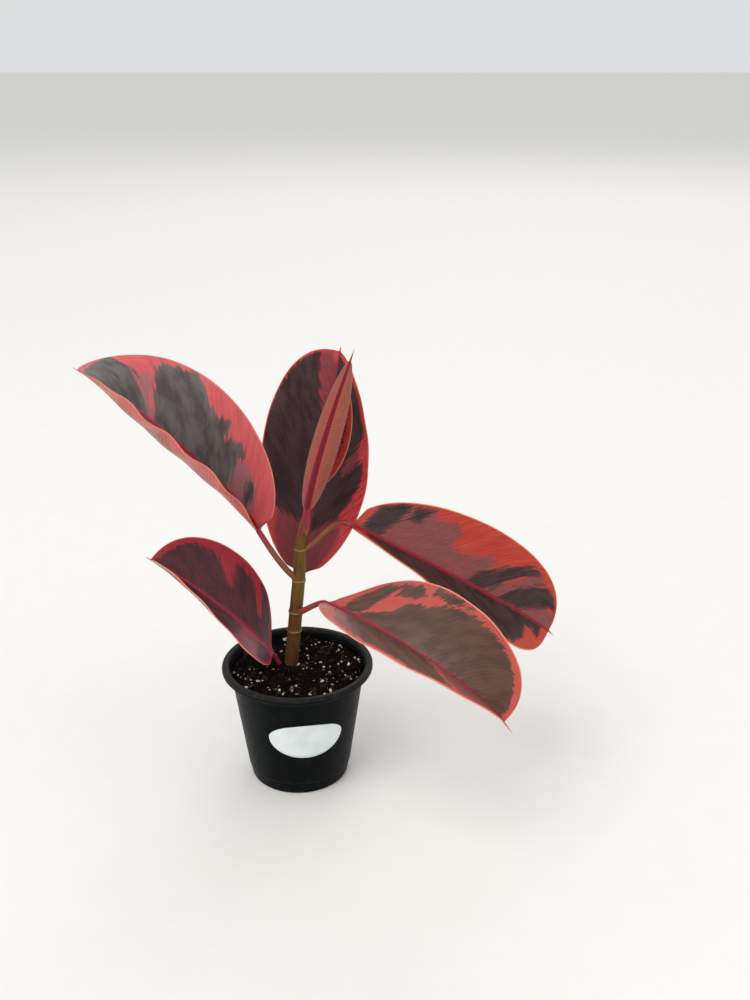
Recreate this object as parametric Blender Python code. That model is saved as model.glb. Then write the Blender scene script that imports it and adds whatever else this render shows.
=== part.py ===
"""Potted rubber plant: six leaves on one short stem, rooted in a nursery pot.

Metres, +Z up. The origin is the middle of the pot's base, on the surface it stands on.
Leaf shapes are given in millimetres, the unit a grower would measure them in.
"""
import math

import bmesh
import bpy
import numpy as np

MM = 0.001
GAP = 0.0003                       # clearance kept between pieces that touch

# Pot: thin moulded shell with a rolled rim and a stepped foot
POT_HEIGHT = 0.090
RIM_RADIUS = 0.055
RIM_DEPTH = 0.0045
MOUTH_RADIUS = 0.050
BODY_TOP_RADIUS = 0.0488
BASE_RADIUS = 0.0365
WALL = 0.0012
FLOOR = 0.0016
FOOT_HEIGHT = 0.010
FOOT_STEP = 0.0006
POT_SEGMENTS = 48
DRAIN_COUNT = 6
DRAIN_RADIUS = 0.004
DRAIN_CIRCLE = 0.026

# Potting mix
SOIL_TOP = 0.0840
SOIL_CROWN = 0.0010                # how far the middle stands above the edge

# Label: a half-moon sticker wrapped on the front of the pot
LABEL_WIDTH = 0.0556
LABEL_HEIGHT = 0.0289
LABEL_CENTRE_Z = 0.0490
LABEL_CENTRE_ANGLE = math.radians(-79.1)
LABEL_TILT = math.radians(-0.8)
LABEL_THICKNESS = 0.0003
LABEL_BOW = 0.0061                 # how far the upper edge bows up between its ends
LABEL_CORNERS = (0.47, 0.37)       # part of the left and right half that rounds off
LABEL_DROPS = (0.0058, 0.0050)     # how far the upper edge drops there

# Stem: centre line in millimetres from its cut end in the mix to the growing point
STEM_LINE = [(-7.5, 7.0, 46), (-5.0, 7.0, 84), (-0.6, 7.6, 128), (2.3, 8.3, 156), (4.5, 9.0, 187)]
STEM_RADII = [4.6, 5.0, 4.8, 4.5, 3.8]
STEM_NODES = [112, 127, 152, 176]  # heights of the ring scars where leaves join
NODE_SWELL = 0.10
STEM_SIDES = 14
STEM_STATIONS = 34

# Roots: direction angle, spread, lowest point, start height and radius, all in mm and degrees
ROOTS = [
    ("root_1", 20, 34, 12, 56, 1.6),
    ("root_2", 95, 28, 9, 51, 1.4),
    ("root_3", 165, 26, 14, 60, 1.5),
    ("root_4", 235, 30, 8, 53, 1.3),
    ("root_5", 305, 36, 11, 49, 1.5),
]

ROOT_STATIONS = 11

LEAF_THICKNESS = 0.8
SQUARE_OFF = 4 * LEAF_THICKNESS    # distance from the midrib by which the faces follow the fold
LEAF_STATIONS = [0.0, 0.006, 0.018, 0.035, 0.07, 0.12, 0.19, 0.27, 0.36, 0.45, 0.54, 0.63,
                 0.72, 0.80, 0.86, 0.90, 0.94, 1.0]
PETIOLE_STATIONS = 6
HALF_STEPS = 40                    # fine steps used to add up one half of a cross-section
OPEN_PICKS = [3, 13, 22, 31, 40]   # steps kept as points on an open blade
ROLLED_PICKS = [3, 9, 14, 19, 24, 29, 34, 40]
BLUNT_END = 0.93                   # where the blade ends and its drip tip begins
DRIP_WIDTH = 0.05

# One entry per leaf, in millimetres and degrees.
#   petiole, midrib: control points of two cubic curves that meet at the base of the blade
#   face: the way the upper side looks, at the base and at the tip
#   width: widest half of the blade, where along the midrib that is, and its fullness
#   fold: how far each half is lifted out of flat where it leaves the midrib, base and tip
#   curl: how far each half turns on from there to its margin
#   over: the part of its width over which it turns, and how much it tightens outwards
#   taper: the power of its width that the turn follows; below 1 a roll narrows to its ends
LEAVES = {
    "leaf_upper_left": dict(
        petiole=[(2.0, 8.3, 151), (-9, 4, 162), (-17, -3.8, 182), (-24, -3, 194)],
        midrib=[(-24, -3, 194), (-51, 0, 241), (-119, -15, 304), (-135, -31, 319)],
        face=[(0.30, -0.76, 0.57), (-0.33, -0.05, 0.93)],
        width=(47.4, 0.50), radius=(2.3, 1.9),
        left=dict(fold=(59, -18), curl=63),
        right=dict(fold=(58, 2), curl=7)),
    "leaf_lower_right": dict(
        petiole=[(-0.9, 7.6, 125), (5, 2, 129), (17.4, -9.6, 144), (22, -17, 146)],
        midrib=[(22, -17, 146), (60, -79, 160), (119, -110, 138), (143, -120, 106)],
        face=[(0.23, -0.26, 0.94), (-0.04, -0.14, 0.99)],
        width=(47.2, 0.59), radius=(2.4, 1.7),
        left=dict(fold=(17, 60), curl=37),
        right=dict(fold=(18, 51), curl=-8)),
    "leaf_back": dict(
        petiole=[(1.0, 8.0, 139), (1.5, 17, 139), (2.4, 20.5, 141), (3.2, 24, 148)],
        midrib=[(3.2, 24, 148), (10, 53, 208), (31, 46, 299), (33, 46, 314)],
        face=[(0.20, -0.92, 0.31), (-0.58, -0.69, 0.42)],
        width=(43.1, 0.52), radius=(2.2, 1.8),
        left=dict(fold=(10, 6), curl=3),
        right=dict(fold=(5, 24), curl=17)),
    "leaf_upper_right": dict(
        petiole=[(3.6, 8.7, 174.5), (16, 9, 178), (27, 1, 205), (39, -4, 200)],
        midrib=[(39, -4, 200), (96, -21, 177), (167, -25, 140), (182, -22, 123)],
        face=[(0.02, -0.33, 0.94), (-0.15, -0.60, 0.78)],
        width=(43.2, 0.49), radius=(1.8, 1.7),
        left=dict(fold=(36, 16), curl=21),
        right=dict(fold=(38, 7), curl=16)),
    "leaf_lower_left": dict(
        petiole=[(-5.5, 7, 74), (-9.5, 6.5, 76), (-14.1, 5.6, 86), (-18, 3, 94)],
        midrib=[(-18, 3, 94), (-34, -8, 126), (-87, 1, 162), (-107, 4, 172)],
        face=[(0.25, -0.23, 0.94), (0.30, -0.18, 0.94)],
        width=(41.0, 0.51), radius=(1.8, 1.5),
        left=dict(fold=(-5, 41), curl=26),
        right=dict(fold=(-2, 40), curl=25)),
    "new_leaf": dict(
        petiole=[(3.8, 8.0, 183), (3.2, 6.5, 190), (6.5, 0.5, 198), (8.5, -0.5, 207)],
        midrib=[(8.5, -0.5, 207), (17, -3, 249), (31, -4, 288), (43, 1, 323)],
        face=[(0.15, 1.0, -0.30), (0.10, 1.0, -0.30)],
        width=(43.5, 0.42, 1.0), radius=(2.0, 1.8), taper=0.4,
        left=dict(fold=(5, 5), curl=420, over=(0.0, 1.0, 1.4)),
        right=dict(fold=(5, 5), curl=180, over=(0.0, 0.70, 1.0))),
}

BUD_LINE = [(6.4, 10.4, 185), (7.8, 11.6, 192), (9.0, 11.4, 199), (10.4, 11.0, 206)]
BUD_RADII = [1.9, 2.1, 1.4, 0.35]

for old in list(bpy.data.objects):
    bpy.data.objects.remove(old, do_unlink=True)

plant = bpy.data.objects.new("rubber_plant", None)
bpy.context.scene.collection.objects.link(plant)


def material(name, colour, roughness):
    """A plain Principled finish in one linear colour."""
    finish = bpy.data.materials.new(name)
    finish.use_nodes = True
    shader = finish.node_tree.nodes["Principled BSDF"]
    shader.inputs["Base Color"].default_value = (*colour, 1.0)
    shader.inputs["Roughness"].default_value = roughness
    shader.inputs["Metallic"].default_value = 0.0
    return finish


def add_object(name, points, faces, finish, origin=(0.0, 0.0, 0.0), cutter=False):
    """Make one closed mesh object; its mesh is stored around the given origin."""
    mesh = bpy.data.meshes.new(name)
    mesh.from_pydata([tuple(p) for p in np.asarray(points) - np.asarray(origin)], [], faces)
    shape = bmesh.new()
    shape.from_mesh(mesh)
    if shape.calc_volume(signed=True) < 0:
        bmesh.ops.reverse_faces(shape, faces=shape.faces)
    shape.to_mesh(mesh)
    shape.free()
    mesh.shade_smooth()
    mesh.set_sharp_from_angle(angle=math.radians(40))
    obj = bpy.data.objects.new(name, mesh)
    bpy.context.scene.collection.objects.link(obj)
    obj.location = origin
    obj.parent = plant
    if finish:
        mesh.materials.append(finish)
    if cutter:
        obj.hide_render = True
        obj.display_type = "WIRE"
    return obj


def loft(name, rings, finish, origin=(0.0, 0.0, 0.0), cutter=False):
    """Skin a stack of equal rings and close both ends with a fan around a middle point.

    A ring runs out over the upper face of a leaf and back under it. Each quad is split into
    two triangles, the lower ones along the other diagonal, so that both faces of a thin
    sheet bend along the same lines and keep their distance.
    """
    count, sides = rings.shape[:2]
    points = np.concatenate([rings.reshape(-1, 3), rings[:1].mean(axis=1), rings[-1:].mean(axis=1)])
    start, end = count * sides, count * sides + 1
    faces = []
    for i in range(count - 1):
        for j in range(sides):
            k = (j + 1) % sides
            a, b = i * sides + j, i * sides + k
            d, c = a + sides, b + sides
            if j < sides // 2:
                faces += [(a, b, c), (a, c, d)]
            else:
                faces += [(a, b, d), (b, c, d)]
    last = (count - 1) * sides
    for j in range(sides):
        k = (j + 1) % sides
        faces.append((start, k, j))
        faces.append((end, last + j, last + k))
    return add_object(name, points, faces, finish, origin, cutter)


def turned(name, profile, segments, finish):
    """Turn an open profile of (radius, height) about Z and close both ends with flat discs."""
    angles = np.arange(segments) * 2 * math.pi / segments
    profile = np.array(profile)
    points = np.empty((len(profile), segments, 3))
    points[..., 0] = profile[:, :1] * np.cos(angles)
    points[..., 1] = profile[:, :1] * np.sin(angles)
    points[..., 2] = profile[:, 1:]
    last = (len(profile) - 1) * segments
    faces = [tuple(range(segments))[::-1], tuple(range(last, last + segments))]
    for row in range(0, last, segments):
        for j in range(segments):
            k = (j + 1) % segments
            faces.append((row + j, row + k, row + segments + k, row + segments + j))
    return add_object(name, points.reshape(-1, 3), faces, finish)


def cut(obj, cutter):
    """Take the cutter's volume out of the object, exactly."""
    boolean = obj.modifiers.new("cut_" + cutter.name, "BOOLEAN")
    boolean.operation = "DIFFERENCE"
    boolean.solver = "EXACT"
    boolean.object = cutter


def cubic(points, t):
    """Points of a cubic Bezier curve at the parameters t."""
    p = np.asarray(points, dtype=float)
    t = np.asarray(t, dtype=float)[:, None]
    return (1 - t) ** 3 * p[0] + 3 * (1 - t) ** 2 * t * p[1] + 3 * (1 - t) * t ** 2 * p[2] + t ** 3 * p[3]


def cubic_slope(points, t):
    """Unit direction of a cubic Bezier curve at the parameters t."""
    p = np.asarray(points, dtype=float)
    t = np.asarray(t, dtype=float)[:, None]
    slope = (1 - t) ** 2 * (p[1] - p[0]) + 2 * (1 - t) * t * (p[2] - p[1]) + t ** 2 * (p[3] - p[2])
    return slope / np.linalg.norm(slope, axis=1, keepdims=True)


def tangents(line):
    """Unit direction along a line of points."""
    along = np.gradient(line, axis=0)
    return along / np.linalg.norm(along, axis=1, keepdims=True)


def cross_frames(along, face):
    """Side and up directions across a line, with up as near to face as it can be."""
    up = face - (face * along).sum(axis=1, keepdims=True) * along
    up /= np.linalg.norm(up, axis=1, keepdims=True)
    return np.cross(along, up), up


def tube_rings(line, radii, sides, face=(0.0, -1.0, 0.0)):
    """Circles of the given radii square to a line of points."""
    side, up = cross_frames(tangents(line), np.broadcast_to(face, line.shape))
    angles = np.arange(sides) * 2 * math.pi / sides
    radii = np.asarray(radii)[:, None, None]
    ring = np.cos(angles)[None, :, None] * side[:, None] + np.sin(angles)[None, :, None] * up[:, None]
    return line[:, None] + radii * ring


def smooth_line(points, count):
    """A smooth run through the given points, evenly spaced by index."""
    knots = np.asarray(points, dtype=float)
    slopes = np.gradient(knots, axis=0)
    at = np.linspace(0, len(knots) - 1, count)
    i = np.minimum(at.astype(int), len(knots) - 2)
    t = (at - i)[:, None]
    start = (2 * t ** 3 - 3 * t ** 2 + 1) * knots[i] + (t ** 3 - 2 * t ** 2 + t) * slopes[i]
    end = (3 * t ** 2 - 2 * t ** 3) * knots[i + 1] + (t ** 3 - t ** 2) * slopes[i + 1]
    return start + end


# ---------------------------------------------------------------- pot

POT = material("pot_plastic", (0.010, 0.013, 0.014), 0.45)
LABEL = material("label_paper", (0.72, 0.80, 0.80), 0.5)
SOIL = material("potting_mix", (0.022, 0.012, 0.008), 0.95)
STEM = material("stem_bark", (0.12, 0.07, 0.03), 0.6)
ROOT = material("root_skin", (0.42, 0.30, 0.17), 0.8)
LEAF_DARK = material("leaf_dark", (0.075, 0.028, 0.026), 0.3)
LEAF_RED = material("leaf_red", (0.42, 0.06, 0.05), 0.35)
BUD = material("bud_sheath", (0.19, 0.02, 0.02), 0.4)


def wall_radius(z):
    """Outer radius of the pot's tapered body at height z."""
    return BASE_RADIUS + (BODY_TOP_RADIUS - BASE_RADIUS) * z / (POT_HEIGHT - RIM_DEPTH)


rim_under = POT_HEIGHT - RIM_DEPTH
pot_outside = [
    (BASE_RADIUS - FOOT_STEP - 0.0010, 0.0),
    (BASE_RADIUS - FOOT_STEP, 0.0010),
    (wall_radius(FOOT_HEIGHT) - FOOT_STEP, FOOT_HEIGHT - FOOT_STEP),
    (wall_radius(FOOT_HEIGHT), FOOT_HEIGHT),
    (wall_radius(0.081), 0.081),
    (wall_radius(0.081) + 0.0005, 0.0815),
    (wall_radius(rim_under) + 0.0005, rim_under),
    (RIM_RADIUS - 0.0010, rim_under - 0.0002),
    (RIM_RADIUS - 0.0002, rim_under + 0.0006),
    (RIM_RADIUS, rim_under + 0.0020),
    (RIM_RADIUS - 0.0005, POT_HEIGHT - 0.0008),
    (RIM_RADIUS - 0.0018, POT_HEIGHT),
    (MOUTH_RADIUS + 0.0012, POT_HEIGHT),
    (MOUTH_RADIUS, POT_HEIGHT - 0.0006),
]
pot_inside = [
    (wall_radius(rim_under) - WALL, rim_under - 0.0015),
    (wall_radius(FLOOR + 0.001) - FOOT_STEP - WALL, FLOOR + 0.001),
    (wall_radius(FLOOR + 0.001) - FOOT_STEP - WALL - 0.001, FLOOR),
]
pot = turned("pot", pot_outside + pot_inside, POT_SEGMENTS, POT)

for i in range(DRAIN_COUNT):
    turn = (i + 0.5) * 2 * math.pi / DRAIN_COUNT
    hole_line = np.array([(DRAIN_CIRCLE * math.cos(turn), DRAIN_CIRCLE * math.sin(turn), z)
                          for z in (-0.004, 0.005)])
    hole = loft(f"drain_cutter_{i + 1}", tube_rings(hole_line, [DRAIN_RADIUS] * 2, 12), None, cutter=True)
    cut(pot, hole)

# ---------------------------------------------------------------- label


def label_grid(columns, rows):
    """A half-moon as (across, up) from its middle: an upper edge that bows a little and
    rounds off at its ends, and an oval lower edge that meets it there."""
    part = np.sin(np.linspace(-0.5, 0.5, columns) * math.pi)
    rounded = np.where(part < 0, *LABEL_CORNERS)
    corner = np.clip((np.abs(part) - (1 - rounded)) / rounded, 0, 1)
    top = LABEL_HEIGHT / 2 - LABEL_BOW * part ** 2
    top = top - np.where(part < 0, *LABEL_DROPS) * (1 - np.sqrt(1 - corner ** 2))
    ends = LABEL_HEIGHT / 2 - LABEL_BOW - np.interp(part, (-1, 1), LABEL_DROPS)
    bottom = ends - (LABEL_HEIGHT / 2 + ends) * np.sqrt(np.maximum(1 - part ** 2, 0.008))
    down = np.linspace(0, 1, rows)
    across = np.repeat(part[:, None], rows, axis=1) * LABEL_WIDTH / 2
    up = top[:, None] * (1 - down) + bottom[:, None] * down
    turned_across = across * math.cos(LABEL_TILT) - up * math.sin(LABEL_TILT)
    turned_up = across * math.sin(LABEL_TILT) + up * math.cos(LABEL_TILT)
    return turned_across, turned_up


def on_wall(across, up, lift):
    """Wrap flat label points round the pot's tapered wall, lifted off it."""
    z = LABEL_CENTRE_Z + up
    radius = wall_radius(z) + lift
    angle = LABEL_CENTRE_ANGLE + across / radius
    return np.stack([radius * np.cos(angle), radius * np.sin(angle), z], axis=-1)


label_across, label_up = label_grid(21, 4)
label_under = on_wall(label_across, label_up, GAP)
label_over = on_wall(label_across, label_up, GAP + LABEL_THICKNESS)
label_rings = np.concatenate([label_under, label_over[:, ::-1]], axis=1)
loft("label", label_rings, LABEL)

# ---------------------------------------------------------------- stem and bud


def stem_line_and_radii(stations, extra=0.0, overshoot=0.0):
    """Centre line and radii of the stem in metres, swollen a little at each ring scar."""
    line = smooth_line(STEM_LINE, stations)
    radii = smooth_line(np.array(STEM_RADII)[:, None], stations)[:, 0]
    for node in STEM_NODES:
        radii = radii * (1 + NODE_SWELL * np.exp(-((line[:, 2] - node) / 1.6) ** 2))
    along = tangents(line)
    line[0] -= along[0] * overshoot
    line[-1] += along[-1] * overshoot
    radii[0] = radii[0] - (0.0 if overshoot else 0.6)
    radii[-1] = radii[-1] - (0.0 if overshoot else 0.7)
    return line * MM, (radii + extra) * MM


line, radii = stem_line_and_radii(STEM_STATIONS)
stem_origin = (line[0][0], line[0][1], line[0][2])
loft("stem", tube_rings(line, radii, STEM_SIDES), STEM, origin=stem_origin)
line, radii = stem_line_and_radii(STEM_STATIONS, extra=GAP / MM, overshoot=GAP / MM)
stem_space = loft("stem_space", tube_rings(line, radii, STEM_SIDES), None, cutter=True)

# ---------------------------------------------------------------- leaves


def half_width(u, widest, where, fullness=0.55):
    """Half of the blade's width at fraction u of the midrib.

    An oval that is widest at the given place, with a short narrow drip tip after it.
    A smaller fullness exponent makes both ends of the oval rounder.
    """
    skew = math.log(0.5) / math.log(where)
    s = np.clip(u / BLUNT_END, 0, 1) ** skew
    oval = (4 * s * (1 - s)) ** fullness
    drip = np.where(u > 0.8, np.clip(DRIP_WIDTH * (1 - u) / (1 - BLUNT_END * 0.9), 0.004, 0.06), 0)
    return widest * np.maximum(oval, drip)


def half_section(u, widths, leaf, side):
    """Cross-section of one half of the blade, from the midrib (index 0) out to its margin.

    The half leaves the midrib at its fold angle and then turns on at an even rate over the
    stated part of its width. Adding up the small steps gives the offsets sideways and up.
    Returns both offsets and the turning angle at every step.
    """
    half = leaf["right"] if side > 0 else leaf["left"]
    first, last, tighten = half.get("over", (0.0, 1.0, 1.0))
    out = (np.arange(HALF_STEPS) + 0.5) / HALF_STEPS
    fold = np.radians(half["fold"][0] * (1 - u) + half["fold"][1] * u)
    curl = math.radians(half["curl"]) * (widths / leaf["width"][0]) ** leaf.get("taper", 1.0)
    angle = fold[:, None] + curl[:, None] * np.clip((out - first) / (last - first), 0, 1) ** tighten
    step = widths[:, None] / HALF_STEPS
    zero = np.zeros((len(u), 1))
    sideways = np.concatenate([zero, np.cumsum(np.cos(angle) * step, axis=1)], axis=1)
    lifted = np.concatenate([zero, np.cumsum(np.sin(angle) * step, axis=1)], axis=1)
    angle = np.concatenate([angle[:, :1], angle], axis=1)
    return sideways, lifted, angle


def blade_rings(leaf):
    """Closed cross-sections of the blade from its base to its tip, in millimetres."""
    u = np.array(LEAF_STATIONS)
    midrib = cubic(leaf["midrib"], u)
    face = np.outer(1 - u, leaf["face"][0]) + np.outer(u, leaf["face"][1])
    side_way, up_way = cross_frames(cubic_slope(leaf["midrib"], u), face)
    widths = half_width(u, *leaf["width"])
    upper, lower = [], []
    keel = leaf["radius"][1] * (1 - u[:, None]) ** 0.7
    thick = LEAF_THICKNESS * np.clip(widths[:, None] / leaf["width"][0] * 2, 0.4, 1)
    picks = ROLLED_PICKS if leaf["left"]["curl"] > 180 else OPEN_PICKS
    for side in (-1, 1):
        sideways, lifted, angle = half_section(u, widths, leaf, side)
        for pick in (picks[::-1] if side < 0 else [0] + picks):
            place = midrib + side * sideways[:, pick:pick + 1] * side_way + lifted[:, pick:pick + 1] * up_way
            reach = pick / HALF_STEPS * widths[:, None]
            turn = angle[:, pick:pick + 1] * np.clip(reach / SQUARE_OFF, 0, 1)
            normal = np.cos(turn) * up_way - side * np.sin(turn) * side_way
            rib = keel if pick == 0 else 0.0
            if pick < HALF_STEPS:
                upper.append(place + normal * thick / 2)
                lower.append(place - normal * (thick / 2 + rib))
            else:
                upper.append(place)
    section = np.stack(upper + lower[::-1], axis=1)
    count = len(upper)
    across = np.linspace(-1, 1, count)
    turn_up = np.arccos(-across)
    top = np.stack([np.cos(math.pi - turn_up), np.sin(turn_up)], axis=1)
    bottom = top[1:-1][::-1] * (1, -1)
    circle = np.concatenate([top, bottom])
    radius = leaf["radius"][1] * (1 - u[:, None, None])
    round_section = midrib[:, None] + radius * (circle[None, :, :1] * side_way[:, None]
                                                + circle[None, :, 1:] * up_way[:, None])
    spread = np.clip(u / 0.03, 0, 1)[:, None, None]
    return round_section * (1 - spread) + section * spread, circle


def leaf_rings(leaf):
    """Rings from inside the stem, along the petiole, to the drip tip, in metres."""
    blade, circle = blade_rings(leaf)
    t = np.linspace(0, 1, PETIOLE_STATIONS + 1)[:-1]
    line = cubic(leaf["petiole"], t)
    face = np.broadcast_to(leaf["face"][0], line.shape)
    side_way, up_way = cross_frames(cubic_slope(leaf["petiole"], t), face)
    radius = leaf["radius"][0] * (1 - t) + leaf["radius"][1] * t
    round_section = line[:, None] + radius[:, None, None] * (
        circle[None, :, :1] * side_way[:, None] + circle[None, :, 1:] * up_way[:, None])
    return np.concatenate([round_section, blade]) * MM


for name, leaf in LEAVES.items():
    finish = LEAF_RED if name == "new_leaf" else LEAF_DARK
    origin = tuple(np.array(leaf["petiole"][0]) * MM)
    blade = loft(name, leaf_rings(leaf), finish, origin=origin)
    cut(blade, stem_space)

bud_line = smooth_line(BUD_LINE, 10) * MM
bud_radii = smooth_line(np.array(BUD_RADII)[:, None], 10)[:, 0] * MM
bud = loft("bud_sheath", tube_rings(bud_line, bud_radii, 12), BUD, origin=tuple(bud_line[0]))
cut(bud, stem_space)

# ---------------------------------------------------------------- soil and roots

soil_edge = wall_radius(SOIL_TOP) - WALL - GAP
soil_foot = wall_radius(FLOOR + 0.001) - FOOT_STEP - WALL - GAP - 0.001
soil_profile = [
    (soil_foot, FLOOR + GAP),
    (soil_foot + 0.0008, FLOOR + GAP + 0.001),
    (soil_edge - 0.0004, SOIL_TOP - 0.002),
    (soil_edge - 0.0012, SOIL_TOP - 0.0004),
    (soil_edge * 0.6, SOIL_TOP + SOIL_CROWN),
]
soil = turned("soil", soil_profile, POT_SEGMENTS, SOIL)
cut(soil, stem_space)

low_leaf = LEAVES["leaf_lower_left"]
low_line = cubic(low_leaf["petiole"], np.linspace(0, 1, 12)) * MM
low_radii = (np.linspace(*low_leaf["radius"], 12) + GAP / MM) * MM
low_space = loft("low_petiole_space", tube_rings(low_line, low_radii, 24), None, cutter=True)
cut(soil, low_space)

for name, turn, spread, bottom, start, radius in ROOTS:
    way = np.array([math.cos(math.radians(turn)), math.sin(math.radians(turn)), 0.0])
    crown = np.array([-7.0, 7.0, start])
    foot = way * spread + np.array([-3.0, 3.0, bottom])
    bend = crown + way * spread * 0.75 + np.array([0, 0, -4.0])
    knee = foot + np.array([0, 0, (start - bottom) * 0.45])
    line = cubic([crown, bend, knee, foot], np.linspace(0, 1, ROOT_STATIONS))
    taper = np.linspace(radius, radius * 0.35, ROOT_STATIONS)
    root = loft(name, tube_rings(line * MM, taper * MM, 8, face=(-way[1], way[0], 0.0)), ROOT,
                origin=tuple(crown * MM))
    cut(root, stem_space)
    line[-1, 2] -= GAP / MM
    space = loft(name + "_space", tube_rings(line * MM, (taper + GAP / MM) * MM, 8,
                                             face=(-way[1], way[0], 0.0)), None, cutter=True)
    cut(soil, space)
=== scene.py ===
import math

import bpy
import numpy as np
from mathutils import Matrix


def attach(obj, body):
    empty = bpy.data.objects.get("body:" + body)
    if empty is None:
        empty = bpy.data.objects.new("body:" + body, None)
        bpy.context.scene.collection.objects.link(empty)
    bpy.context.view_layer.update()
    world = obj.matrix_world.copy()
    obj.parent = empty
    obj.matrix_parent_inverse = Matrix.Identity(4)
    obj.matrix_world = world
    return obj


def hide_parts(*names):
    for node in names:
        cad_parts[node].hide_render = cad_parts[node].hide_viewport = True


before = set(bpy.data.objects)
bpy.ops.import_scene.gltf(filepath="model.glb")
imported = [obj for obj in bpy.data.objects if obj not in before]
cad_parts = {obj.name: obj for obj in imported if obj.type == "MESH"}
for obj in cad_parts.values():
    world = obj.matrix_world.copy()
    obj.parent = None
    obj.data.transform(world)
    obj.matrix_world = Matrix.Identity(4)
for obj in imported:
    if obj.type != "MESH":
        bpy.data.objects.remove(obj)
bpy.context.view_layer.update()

# %% [markdown]
# # A potted rubber plant
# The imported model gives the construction: a nursery pot, a label, potting mix, a stem with
# roots, five open leaves, one new leaf that is still rolled up, and the sheath of the next bud.
# This lesson gives each of them its finish. The shapes that a plant grows are smooth and thin,
# so each one is worked out as a fine grid with numpy, around the same curves as the solids.

MM = 0.001

# %% [markdown]
# ## Tools for grids
# Every piece below is a grid of points: rows run along the piece and columns run round it.
# Two helpers turn such a grid into a mesh. Faces are found with array arithmetic, so a grid of
# fifty thousand faces takes no longer to write down than one of fifty.


# %% Grid to mesh
def ring_faces(rows, columns):
    """Quads between neighbouring rows of a grid whose columns close into a ring."""
    row, column = np.meshgrid(np.arange(rows - 1), np.arange(columns), indexing="ij")
    after = (column + 1) % columns
    quads = [row * columns + column, row * columns + after,
             (row + 1) * columns + after, (row + 1) * columns + column]
    return np.stack(quads, axis=-1).reshape(-1, 4)


def fan_faces(first, columns, middle, flip):
    """Triangles from a ring of points, starting at index first, to one middle point."""
    column = np.arange(columns)
    after = (column + 1) % columns
    order = [first + after, first + column] if flip else [first + column, first + after]
    return np.stack(order + [np.full(columns, middle)], axis=-1)


def mesh_object(name, points, faces, smooth=True):
    """A mesh object at the origin from points in metres and a list of face arrays."""
    mesh = bpy.data.meshes.new(name)
    everything = [tuple(face) for group in faces for face in group.tolist()]
    mesh.from_pydata(np.asarray(points, dtype=float).tolist(), [], everything)
    mesh.polygons.foreach_set("use_smooth", np.full(len(mesh.polygons), smooth))
    mesh.update()
    obj = bpy.data.objects.new(name, mesh)
    bpy.context.scene.collection.objects.link(obj)
    return obj


def skin(name, rings, smooth=True):
    """Closed surface over a stack of rings; both ends are closed with a fan.

    rings has the shape (rows, columns, 3). The two middle points come last, so per-point
    values for the whole mesh are the grid's values followed by one value for each end.
    """
    rows, columns = rings.shape[:2]
    points = np.concatenate([rings.reshape(-1, 3), rings[:1].mean(axis=1), rings[-1:].mean(axis=1)])
    faces = [ring_faces(rows, columns),
             fan_faces(0, columns, rows * columns, flip=True),
             fan_faces((rows - 1) * columns, columns, rows * columns + 1, flip=False)]
    obj = mesh_object(name, points, faces, smooth)
    turn_outwards(obj)
    return obj


def turn_outwards(obj):
    """Reverse a closed mesh whose signed volume is negative.

    The volume is the sum over triangles of a . (b x c) / 6.
    """
    mesh = obj.data
    mesh.calc_loop_triangles()
    corners = np.empty(len(mesh.loop_triangles) * 3, dtype=np.int32)
    mesh.loop_triangles.foreach_get("vertices", corners)
    points = np.empty(len(mesh.vertices) * 3)
    mesh.vertices.foreach_get("co", points)
    a, b, c = points.reshape(-1, 3)[corners.reshape(-1, 3)].transpose(1, 0, 2)
    volume = np.einsum("ij,ij->i", a, np.cross(b, c)).sum() / 6
    if volume < 0:
        mesh.flip_normals()


def point_values(obj, name, values):
    """Store one vector for each point, which a material reads as an attribute."""
    layer = obj.data.attributes.new(name, "FLOAT_VECTOR", "POINT")
    layer.data.foreach_set("vector", np.asarray(values, dtype=np.float32).ravel())


def finish_piece(obj, slot, *nodes):
    """The piece rides with the plant and stands for its solids. slot is not used."""
    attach(obj, "root")
    if nodes:
        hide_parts(*nodes)
    print(obj.name, "faces:", len(obj.data.polygons))


# %% [markdown]
# ## Tools for finishes
# A finish is a small network of shader nodes. These helpers read like arithmetic: each takes
# sockets or numbers and hands back the socket that holds the result. Colours are written the
# way a colour picker shows them and are turned into the linear values that Blender mixes.


# %% Shader helpers
def paint(code):
    """Linear RGBA of a hexadecimal sRGB colour."""
    values = [int(code[i:i + 2], 16) / 255 for i in (0, 2, 4)]
    return tuple(v / 12.92 if v <= 0.04045 else ((v + 0.055) / 1.055) ** 2.4 for v in values) + (1.0,)


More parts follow.
